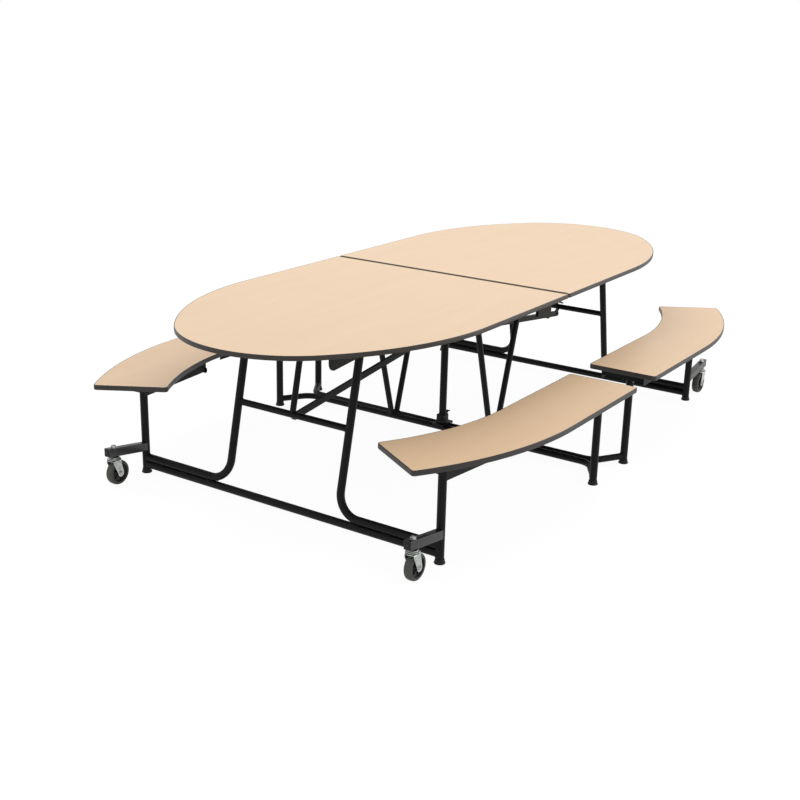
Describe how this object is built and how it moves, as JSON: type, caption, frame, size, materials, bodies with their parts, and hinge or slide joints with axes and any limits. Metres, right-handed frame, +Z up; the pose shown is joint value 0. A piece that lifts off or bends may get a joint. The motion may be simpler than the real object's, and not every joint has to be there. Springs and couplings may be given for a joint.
{
  "type": "folding cafeteria table with benches",
  "caption": "Oval folding cafeteria table with attached curved benches on castered steel frames.",
  "frame": {"origin": "on the floor under the middle of the top, at the fold line", "axes": "+X along the table, +Y across it towards the back benches, +Z up"},
  "size_m": [3.01, 1.924, 0.7366],
  "materials": {
    "laminate": "satin maple laminate",
    "bench_laminate": "satin maple laminate",
    "edge": "satin black moulded edge",
    "frame": "satin black powder coat",
    "foot": "matt black nylon",
    "zinc": "zinc plated",
    "tyre": "matt grey rubber",
    "hub": "matt black nylon"
  },
  "bodies": {
    "end_frame_left": {"end_legs_left": "frame", "end_cross_members_left": "frame", "end_base_tube_left": "frame", "end_bench_posts_left": "frame", "end_feet_left": "foot", "caster_arms_left": "frame", "caster_stems_left": "zinc"},
    "top_left": {"top_panel_left": "laminate", "top_edge_left": "edge", "top_rails_left": "frame"},
    "centre_frame_left": {"centre_base_tube_left": "frame", "centre_v_legs_left": "frame", "centre_pivot_tube_left": "frame", "centre_bench_posts_left": "frame", "centre_feet_left": "foot"},
    "strut_left": {"sync_strut_left": "frame"},
    "bench_front_left": {"bench_seat_front_left": "bench_laminate", "bench_edge_front_left": "edge", "bench_frame_front_left": "frame"},
    "caster_front_left": {"caster_fork_front_left": "zinc"},
    "wheel_front_left": {"wheel_tyre_front_left": "tyre", "wheel_hub_front_left": "hub"},
    "bench_back_left": {"bench_seat_back_left": "bench_laminate", "bench_edge_back_left": "edge", "bench_frame_back_left": "frame"},
    "caster_back_left": {"caster_fork_back_left": "zinc"},
    "wheel_back_left": {"wheel_tyre_back_left": "tyre", "wheel_hub_back_left": "hub"},
    "end_frame_right": {"end_legs_right": "frame", "end_cross_members_right": "frame", "end_base_tube_right": "frame", "end_bench_posts_right": "frame", "end_feet_right": "foot", "caster_arms_right": "frame", "caster_stems_right": "zinc"},
    "top_right": {"top_panel_right": "laminate", "top_edge_right": "edge", "top_rails_right": "frame"},
    "centre_frame_right": {"centre_base_tube_right": "frame", "centre_v_legs_right": "frame", "centre_pivot_tube_right": "frame", "centre_bench_posts_right": "frame", "centre_feet_right": "foot"},
    "strut_right": {"sync_strut_right": "frame"},
    "bench_front_right": {"bench_seat_front_right": "bench_laminate", "bench_edge_front_right": "edge", "bench_frame_front_right": "frame"},
    "caster_front_right": {"caster_fork_front_right": "zinc"},
    "wheel_front_right": {"wheel_tyre_front_right": "tyre", "wheel_hub_front_right": "hub"},
    "bench_back_right": {"bench_seat_back_right": "bench_laminate", "bench_edge_back_right": "edge", "bench_frame_back_right": "frame"},
    "caster_back_right": {"caster_fork_back_right": "zinc"},
    "wheel_back_right": {"wheel_tyre_back_right": "tyre", "wheel_hub_back_right": "hub"},
    "hinge_link": {"centre_link": "frame", "centre_post": "frame", "hinge_pins": "zinc", "latch_rod": "frame"}
  },
  "joints": [
    {"name": "fold", "type": "hinge", "parent": "end_frame_left", "child": "top_left", "pos_m": [-1.014, 0, 0.6965], "axis": [0, -1, 0], "range_deg": [0, 77]},
    {"name": "link_hinge_left", "type": "hinge", "parent": "top_left", "child": "hinge_link", "pos_m": [-0.06, 0, 0.6965], "axis": [0, 1, 0], "range_deg": [0, 77.5]},
    {"name": "link_hinge_right", "type": "hinge", "parent": "hinge_link", "child": "top_right", "pos_m": [0.06, 0, 0.6965], "axis": [0, 1, 0], "range_deg": [0, 77.5]},
    {"name": "end_pivot_right", "type": "hinge", "parent": "top_right", "child": "end_frame_right", "pos_m": [1.014, 0, 0.6965], "axis": [0, -1, 0], "range_deg": [0, 77.5]},
    {"name": "centre_pivot_left", "type": "hinge", "parent": "top_left", "child": "centre_frame_left", "pos_m": [-0.211, 0, 0.6965], "axis": [0, 1, 0], "range_deg": [0, 89.51]},
    {"name": "centre_pivot_right", "type": "hinge", "parent": "top_right", "child": "centre_frame_right", "pos_m": [0.211, 0, 0.6965], "axis": [0, -1, 0], "range_deg": [0, 89.51]},
    {"name": "strut_pivot_left", "type": "hinge", "parent": "end_frame_left", "child": "strut_left", "pos_m": [-1.036, 0, 0.3565], "axis": [0, -1, 0], "range_deg": [0, 68.26]},
    {"name": "strut_pivot_right", "type": "hinge", "parent": "end_frame_right", "child": "strut_right", "pos_m": [1.036, 0, 0.3565], "axis": [0, 1, 0], "range_deg": [0, 68.26]},
    {"name": "bench_hinge_front_left", "type": "hinge", "parent": "end_frame_left", "child": "bench_front_left", "pos_m": [-1.178, -0.713, 0.373], "axis": [0, -1, 0], "range_deg": [0, 77.5]},
    {"name": "bench_hinge_back_left", "type": "hinge", "parent": "end_frame_left", "child": "bench_back_left", "pos_m": [-1.178, 0.713, 0.373], "axis": [0, -1, 0], "range_deg": [0, 77.5]},
    {"name": "bench_hinge_front_right", "type": "hinge", "parent": "end_frame_right", "child": "bench_front_right", "pos_m": [1.178, -0.713, 0.373], "axis": [0, 1, 0], "range_deg": [0, 77.5]},
    {"name": "bench_hinge_back_right", "type": "hinge", "parent": "end_frame_right", "child": "bench_back_right", "pos_m": [1.178, 0.713, 0.373], "axis": [0, 1, 0], "range_deg": [0, 77.5]},
    {"name": "caster_swivel_front_left", "type": "hinge", "parent": "end_frame_left", "child": "caster_front_left", "pos_m": [-1.327, -0.713, 0.11], "axis": [0, 0, 1], "continuous": true},
    {"name": "wheel_spin_front_left", "type": "hinge", "parent": "caster_front_left", "child": "wheel_front_left", "pos_m": [-1.312, -0.713, 0.0511], "axis": [0, 1, 0], "continuous": true},
    {"name": "caster_swivel_back_left", "type": "hinge", "parent": "end_frame_left", "child": "caster_back_left", "pos_m": [-1.327, 0.713, 0.11], "axis": [0, 0, 1], "continuous": true},
    {"name": "wheel_spin_back_left", "type": "hinge", "parent": "caster_back_left", "child": "wheel_back_left", "pos_m": [-1.312, 0.713, 0.0511], "axis": [0, 1, 0], "continuous": true},
    {"name": "caster_swivel_front_right", "type": "hinge", "parent": "end_frame_right", "child": "caster_front_right", "pos_m": [1.327, -0.713, 0.11], "axis": [0, 0, 1], "continuous": true},
    {"name": "wheel_spin_front_right", "type": "hinge", "parent": "caster_front_right", "child": "wheel_front_right", "pos_m": [1.312, -0.713, 0.0511], "axis": [0, 1, 0], "continuous": true},
    {"name": "caster_swivel_back_right", "type": "hinge", "parent": "end_frame_right", "child": "caster_back_right", "pos_m": [1.327, 0.713, 0.11], "axis": [0, 0, 1], "continuous": true},
    {"name": "wheel_spin_back_right", "type": "hinge", "parent": "caster_back_right", "child": "wheel_back_right", "pos_m": [1.312, 0.713, 0.0511], "axis": [0, 1, 0], "continuous": true}
  ],
  "couplings": [
    {"joint": "link_hinge_left", "follows": "fold", "ratio": 1},
    {"joint": "link_hinge_right", "follows": "fold", "ratio": 1},
    {"joint": "end_pivot_right", "follows": "fold", "ratio": 1},
    {"joint": "centre_pivot_left", "follows": "fold", "ratio": 1.156},
    {"joint": "centre_pivot_right", "follows": "fold", "ratio": 1.156},
    {"joint": "strut_pivot_left", "follows": "fold", "ratio": 0.88},
    {"joint": "strut_pivot_right", "follows": "fold", "ratio": 0.88},
    {"joint": "bench_hinge_front_left", "follows": "fold", "ratio": 1},
    {"joint": "bench_hinge_back_left", "follows": "fold", "ratio": 1},
    {"joint": "bench_hinge_front_right", "follows": "fold", "ratio": 1},
    {"joint": "bench_hinge_back_right", "follows": "fold", "ratio": 1}
  ]
}
